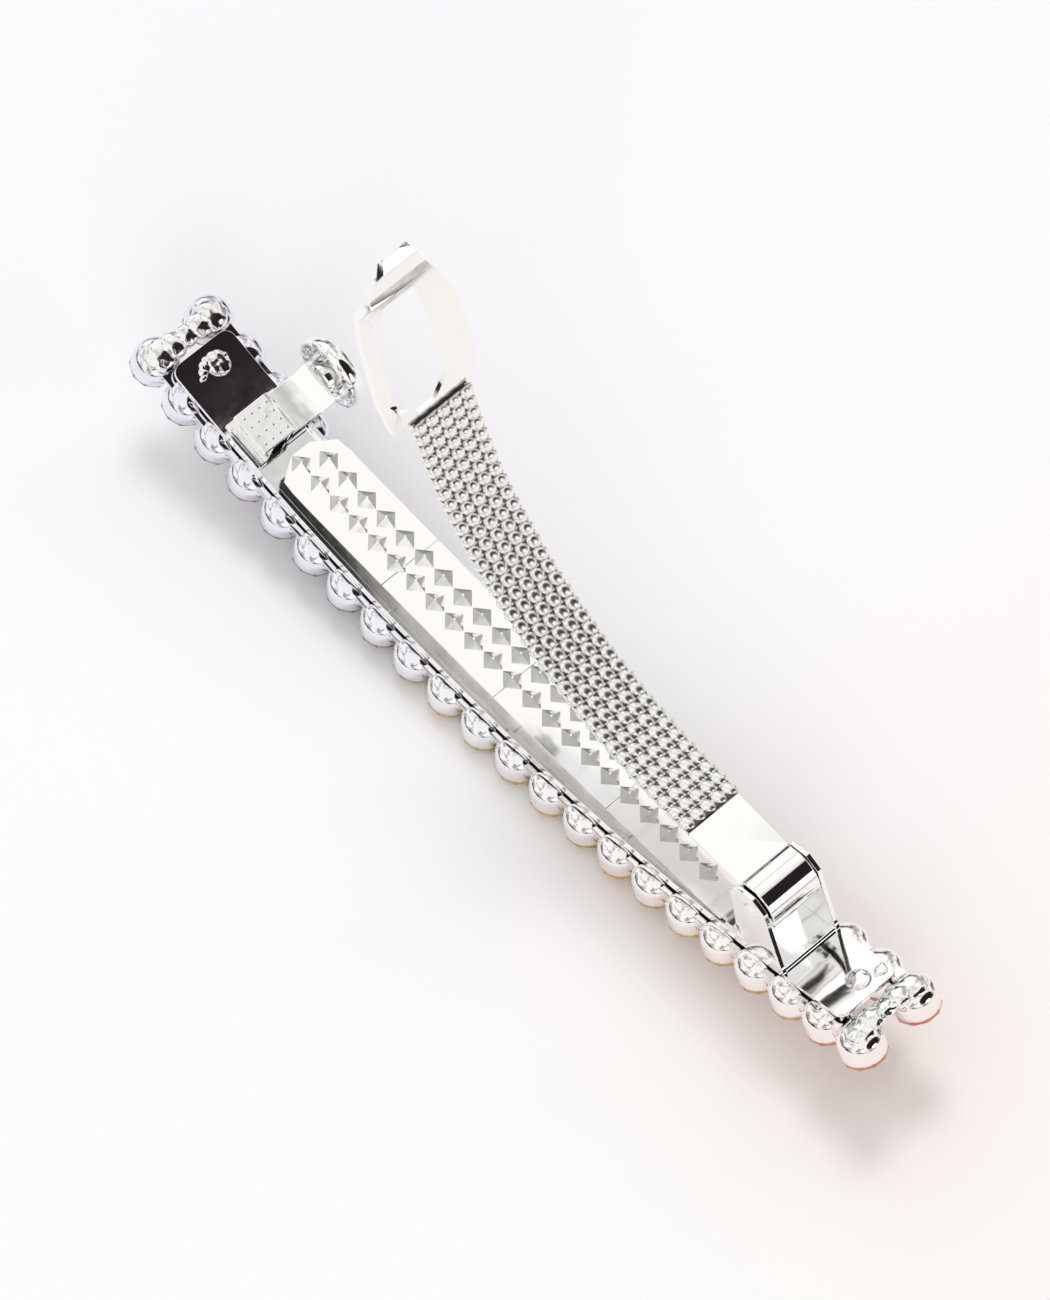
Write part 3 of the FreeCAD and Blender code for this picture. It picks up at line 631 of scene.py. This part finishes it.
def build_bow(sizes, link):
    """One stretch of the bow spring with two staggered rows of pyramid studs."""
    bm = bmesh.new()
    first = sizes.start_lean + link * sizes.link_lean
    last = first + sizes.link_lean
    steps = 10
    rows = []
    half = sizes.width / 2
    for step in range(steps + 1):
        lean = first + 0.006 + (sizes.link_lean - 0.012) * step / steps
        to_end = (sizes.link_lean * (1 - step / steps)) * math.radians(1) * sizes.radius
        trim = 0.0
        if link == sizes.link_count - 1 and to_end < 2.2:
            trim = 2.2 - math.sqrt(max(0.0, 2.2 ** 2 - (2.2 - to_end) ** 2))
        ring = []
        for lift, across in ((0.0, -1), (0.0, 1), (-sizes.sheet, 1), (-sizes.sheet, -1)):
            radius = sizes.radius + 0.3 - sizes.sheet - lift
            place = strip_matrix(sizes, lean, radius, across * (half - trim))
            ring.append(bm.verts.new(place.translation))
        rows.append(ring)
    for low, high in zip(rows, rows[1:]):
        for index in range(4):
            after = (index + 1) % 4
            bm.faces.new((low[index], low[after], high[after], high[index]))
    bm.faces.new(rows[0])
    bm.faces.new(reversed(rows[-1]))
    add_studs(bm, sizes, first, last)
    piece = finish_piece(bm, "bow_leaf_%d" % (link + 1), "bow_%d" % (link + 1),
                         finishes()["bow"], 20.0)
    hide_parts("bow_spring_%d" % (link + 1))


def add_studs(bm, sizes, first, last):
    pitch = math.degrees(sizes.stud_pitch / sizes.radius)
    lean = sizes.start_lean + 0.35
    while lean < sizes.start_lean + sizes.link_count * sizes.link_lean - 0.25:
        for across, shift in ((1.15, 0.0), (-0.95, 0.5)):
            spot = lean + shift * pitch
            if first + 0.05 <= spot < last + 0.05:
                stud = bmesh.ops.create_cone(bm, cap_ends=False, segments=4, radius1=1.12,
                                             radius2=0.12, depth=sizes.stud_height)
                bmesh.ops.scale(bm, vec=(1.05, 0.95, 1), verts=stud["verts"])
                height = sizes.radius + 0.3 - sizes.sheet - sizes.stud_height / 2
                bmesh.ops.transform(bm, matrix=strip_matrix(sizes, spot, height, across),
                                    verts=stud["verts"])
                bmesh.ops.holes_fill(bm, edges=[edge for edge in bm.edges if edge.is_boundary],
                                     sides=4)
        lean += pitch


class BARRETTE_OT_bow(bpy.types.Operator):
    """Stamp the bow spring"""
    bl_idname = "barrette.bow"
    bl_label = "Stamp the bow spring"

    def execute(self, context):
        sizes = context.scene.barrette_bow
        for link in range(sizes.link_count):
            build_bow(sizes, link)
        return {"FINISHED"}


# ---------------------------------------------------------------- catch

def build_dimples(sizes):
    """Rows of small round bumps on the plate of the catch."""
    bm = bmesh.new()
    for along in range(4):
        for across in range(4):
            spot = Matrix.Translation(((along - 1.5) * 0.95, -2.0 + across * 0.85, 2.995))
            dot = bmesh.ops.create_icosphere(bm, subdivisions=2, radius=0.17)
            bmesh.ops.scale(bm, vec=(1, 1, 0.35), verts=dot["verts"])
            bmesh.ops.transform(bm, matrix=arc_matrix(sizes, 16.1, 4.0, 0) @ spot,
                                verts=dot["verts"])
    finish_piece(bm, "catch_dimples", "catch", finishes()["plate"], 60.0)


def build_button():
    """Round button with a rolled rim round a hollow back."""
    low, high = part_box("catch_button")
    centre = (low + high) / 2 / TO_METRES
    profile = ((0.0, 5.65), (1.5, 5.65), (1.65, 5.8), (1.65, 7.2), (1.8, 7.45), (2.1, 7.5),
               (2.2, 7.3), (2.3, 6.95), (2.5, 6.8), (2.7, 6.9), (2.8, 7.15), (2.9, 7.2),
               (3.0, 7.05), (3.05, 6.75), (3.2, 6.55), (3.42, 6.55), (3.56, 6.75), (3.6, 7.1),
               (3.5, 7.7), (3.2, 8.05), (2.6, 8.18), (0.0, 8.2))
    bm = bmesh.new()
    place = Matrix.Translation((centre.x, 0, centre.z)) @ Matrix.Rotation(math.radians(-90), 4, "X")
    spin_profile(bm, profile, 64, place)
    piece = finish_piece(bm, "release_button", "catch", finishes()["plate"], 35.0)
    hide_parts("catch_button")


class BARRETTE_OT_catch(bpy.types.Operator):
    """Build the catch: leaf, dimples and release button"""
    bl_idname = "barrette.catch"
    bl_label = "Build the catch"

    def execute(self, context):
        coats = finishes()
        soften_node("catch_leaf", "catch_spring", "catch", coats["ring"], 0.08)
        build_button()
        build_dimples(context.scene.barrette_stones)
        return {"FINISHED"}


# ---------------------------------------------------------------- stage

CAMERA_TOWARD = Vector((0.3459, -0.3174, 0.8829))
CAMERA_RIGHT = Vector((0.6762, 0.7367, 0))
CAMERA_UP = Vector((-0.6505, 0.597, 0.4695))
CAMERA_DISTANCE = 800
CAMERA_AIM = Vector((0, 0, 2.4))
CAMERA_SHIFT_RIGHT = -0.317
CAMERA_SHIFT_UP = 5.6
LENS = 319.8
SENSOR_WIDTH = 36.0
FLOOR_GAP = 0.0001


def build_floor():
    bm = bmesh.new()
    bmesh.ops.create_grid(bm, x_segments=1, y_segments=1, size=1.2)
    bmesh.ops.translate(bm, vec=(0, 0, -FLOOR_GAP), verts=bm.verts)
    mesh = bpy.data.meshes.new("table_top")
    bm.to_mesh(mesh)
    bm.free()
    material, nodes, links, shader = new_material("pale_table")
    place = nodes.new("ShaderNodeTexCoord")
    split = nodes.new("ShaderNodeSeparateXYZ")
    links.new(place.outputs["Object"], split.inputs[0])
    # Painted coloured light and shadow on the table: behind a line near the clip's near edge, fading
    # out towards the camera, the white turns lavender at the catch end and pink at the hinge end,
    # standing in for light passed through the stones.
    across = nodes.new("ShaderNodeMapRange")
    across.interpolation_type = "SMOOTHSTEP"
    across.inputs["From Min"].default_value = -0.03
    across.inputs["From Max"].default_value = -0.004
    links.new(split.outputs["Y"], across.inputs["Value"])
    ramp = ramp_along_clip(nodes, links, [(-0.05, (0.95, 0.95, 0.985)), (0.0, (0.97, 0.96, 0.98)),
                                          (0.02, (0.98, 0.95, 0.955)), (0.05, (0.98, 0.94, 0.93))])
    table_stone_light_mix = nodes.new("ShaderNodeMix")
    table_stone_light_mix.data_type = "RGBA"
    table_stone_light_mix.inputs["A"].default_value = (0.97, 0.97, 0.97, 1)
    links.new(across.outputs["Result"], table_stone_light_mix.inputs["Factor"])
    links.new(ramp.outputs["Color"], table_stone_light_mix.inputs["B"])
    links.new(table_stone_light_mix.outputs["Result"], shader.inputs["Base Color"])
    shader.inputs["Roughness"].default_value = 0.7
    shader.inputs["Specular IOR Level"].default_value = 0.1
    mesh.materials.append(material)
    floor = bpy.data.objects.new("table_top", mesh)
    bpy.context.scene.collection.objects.link(floor)


def add_patch(nodes, links, colour_in, direction, inner, outer, shade):
    """Mix a soft-edged round patch of a colour into the room; the angles are half-angles."""
    place = nodes.new("ShaderNodeTexCoord")
    unit = Vector(direction).normalized()
    dot = nodes.new("ShaderNodeVectorMath")
    dot.operation = "DOT_PRODUCT"
    dot.inputs[1].default_value = unit
    links.new(place.outputs["Generated"], dot.inputs[0])
    edge = nodes.new("ShaderNodeMapRange")
    edge.interpolation_type = "SMOOTHSTEP"
    edge.inputs["From Min"].default_value = math.cos(math.radians(outer))
    edge.inputs["From Max"].default_value = math.cos(math.radians(inner))
    links.new(dot.outputs["Value"], edge.inputs["Value"])
    mix = nodes.new("ShaderNodeMix")
    mix.data_type = "RGBA"
    mix.inputs["B"].default_value = (*shade, 1)
    links.new(edge.outputs["Result"], mix.inputs["Factor"])
    if isinstance(colour_in, tuple):
        mix.inputs["A"].default_value = (*colour_in, 1)
    else:
        links.new(colour_in, mix.inputs["A"])
    return mix.outputs["Result"]


def build_room():
    """Pale room with a few white and dark things in it, which the plating mirrors."""
    world = bpy.data.worlds.new("studio_room")
    bpy.context.scene.world = world
    world.use_nodes = True
    nodes, links = world.node_tree.nodes, world.node_tree.links
    background = nodes["Background"]
    colour = clutter(nodes, links)
    for direction, inner, outer, shade in (
            ((0.1, -0.2, 0.97), 9.0, 24.0, (1.0, 1.0, 0.98)),
            ((-0.75, 0.35, 0.55), 12.0, 24.0, (1.15, 1.15, 1.13)),
            ((0.75, -0.5, 0.42), 10.0, 16.0, (1.2, 1.2, 1.18)),
            ((0.66, 0.34, 0.66), 33.0, 33.6, (0.02, 0.014, 0.016)),
            ((0.93, 0.34, 0.3), 13.0, 13.6, (1.5, 1.48, 1.46)),
            ((-0.02, 0.4, 0.93), 5.0, 9.0, (0.95, 0.94, 0.92))):
        colour = add_patch(nodes, links, colour, direction, inner, outer, shade)
    links.new(colour, background.inputs["Color"])
    background.inputs["Strength"].default_value = 1.0


def clutter(nodes, links):
    """Blurred light and dark shapes low round the room, calmer overhead."""
    place = nodes.new("ShaderNodeTexCoord")
    split = nodes.new("ShaderNodeSeparateXYZ")
    links.new(place.outputs["Generated"], split.inputs[0])
    shapes = nodes.new("ShaderNodeTexNoise")
    shapes.inputs["Scale"].default_value = 2.6
    shapes.inputs["Detail"].default_value = 2.0
    links.new(place.outputs["Generated"], shapes.inputs["Vector"])
    low = nodes.new("ShaderNodeMapRange")
    low.inputs["From Min"].default_value = 0.0
    low.inputs["From Max"].default_value = 0.8
    low.inputs["To Min"].default_value = 0.06
    low.inputs["To Max"].default_value = -0.12
    links.new(split.outputs["Z"], low.inputs["Value"])
    shift = nodes.new("ShaderNodeMath")
    shift.operation = "SUBTRACT"
    links.new(shapes.outputs["Fac"], shift.inputs[0])
    links.new(low.outputs["Result"], shift.inputs[1])
    ramp = nodes.new("ShaderNodeValToRGB")
    elements = ramp.color_ramp.elements
    elements.new(0.4)
    elements.new(0.44)
    elements.new(0.56)
    for element, (where, value) in zip(elements, ((0.36, 0.02), (0.41, 0.08), (0.44, 0.42),
                                                  (0.53, 0.58), (0.6, 1.05))):
        element.position = where
        element.color = (value, value * 0.985, value * 0.97, 1)
    links.new(shift.outputs[0], ramp.inputs["Fac"])
    return ramp.outputs["Color"]


def build_lights():
    for name, where, size, power in (("key_panel", (-0.3, 0.25, 0.9), 0.3, 2.3),
                                     ("fill_panel", (0.35, -0.35, 0.4), 0.25, 0.5)):
        data = bpy.data.lights.new(name, "AREA")
        data.size = size
        data.energy = power
        lamp = bpy.data.objects.new(name, data)
        lamp.location = where
        lamp.visible_glossy = False
        lamp.rotation_euler = (-Vector(where)).to_track_quat("-Z", "Y").to_euler()
        bpy.context.scene.collection.objects.link(lamp)


def build_camera():
    data = bpy.data.cameras.new("view_camera")
    data.sensor_fit = "HORIZONTAL"
    data.sensor_width = SENSOR_WIDTH
    data.lens = LENS
    data.clip_start = 0.01
    camera = bpy.data.objects.new("view_camera", data)
    aim = CAMERA_AIM + CAMERA_SHIFT_RIGHT * CAMERA_RIGHT + CAMERA_SHIFT_UP * CAMERA_UP
    basis = Matrix((CAMERA_RIGHT, CAMERA_UP, CAMERA_TOWARD)).transposed()
    camera.matrix_world = (Matrix.Translation((aim + CAMERA_DISTANCE * CAMERA_TOWARD) * TO_METRES)
                           @ basis.to_4x4())
    bpy.context.scene.collection.objects.link(camera)
    bpy.context.scene.camera = camera


class BARRETTE_OT_stage(bpy.types.Operator):
    """Set the table, the room, the lights and the camera"""
    bl_idname = "barrette.stage"
    bl_label = "Set the stage"

    def execute(self, context):
        build_floor()
        build_room()
        build_lights()
        build_camera()
        context.scene.view_settings.view_transform = "Standard"
        return {"FINISHED"}


class BARRETTE_PT_panel(bpy.types.Panel):
    """Lists the operators that build the barrette"""
    bl_idname = "BARRETTE_PT_panel"
    bl_label = "Barrette"
    bl_space_type = "VIEW_3D"
    bl_region_type = "UI"
    bl_category = "Barrette"

    def draw(self, context):
        for operator in OPERATORS:
            self.layout.operator(operator.bl_idname)


SETTINGS = (("barrette_stones", StoneRowSizes), ("barrette_arm", ArmSizes),
            ("barrette_bow", BowSizes), ("barrette_colours", FinishColours))
OPERATORS = (BARRETTE_OT_stones, BARRETTE_OT_solder, BARRETTE_OT_base, BARRETTE_OT_arm,
             BARRETTE_OT_bow, BARRETTE_OT_catch, BARRETTE_OT_stage)


def register():
    for name, group in SETTINGS:
        bpy.utils.register_class(group)
        setattr(bpy.types.Scene, name, PointerProperty(type=group))
    for operator in OPERATORS:
        bpy.utils.register_class(operator)
    bpy.utils.register_class(BARRETTE_PT_panel)


def unregister():
    bpy.utils.unregister_class(BARRETTE_PT_panel)
    for operator in reversed(OPERATORS):
        bpy.utils.unregister_class(operator)
    for name, group in reversed(SETTINGS):
        delattr(bpy.types.Scene, name)
        bpy.utils.unregister_class(group)


def main():
    register()
    for operator in OPERATORS:
        group, name = operator.bl_idname.split(".")
        getattr(getattr(bpy.ops, group), name)()


if __name__ == "__main__":
    main()
